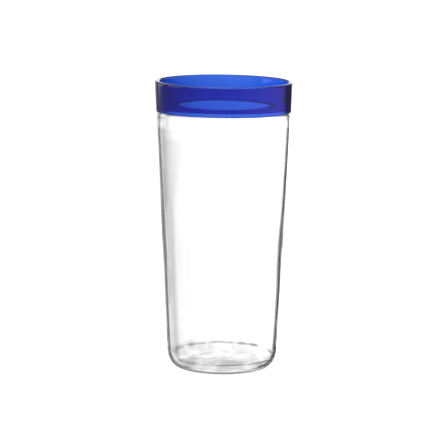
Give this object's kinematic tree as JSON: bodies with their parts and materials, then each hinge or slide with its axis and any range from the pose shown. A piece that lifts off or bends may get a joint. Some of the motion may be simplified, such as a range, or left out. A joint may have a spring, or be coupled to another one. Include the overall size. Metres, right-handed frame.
{
  "type": "drinking tumbler",
  "caption": "Tall tapered hand-blown clear glass drinking tumbler, open at the top, with a cobalt-blue glass band fused round its lip.",
  "frame": {"origin": "centre of the foot, on the surface that the glass stands on", "axes": "+Z is the turning axis and points up out of the mouth; X and Y are equal directions across the round glass"},
  "size_m": [0.085, 0.085, 0.178],
  "materials": {
    "clear_glass": "clear hand-blown soda-lime glass, fire-polished, very slightly wavy",
    "cobalt_glass": "transparent cobalt-blue glass, fire-polished, deep blue through two walls"
  },
  "bodies": {
    "root": {"clear_vessel": "clear_glass", "cobalt_lip_band": "cobalt_glass"}
  },
  "joints": []
}
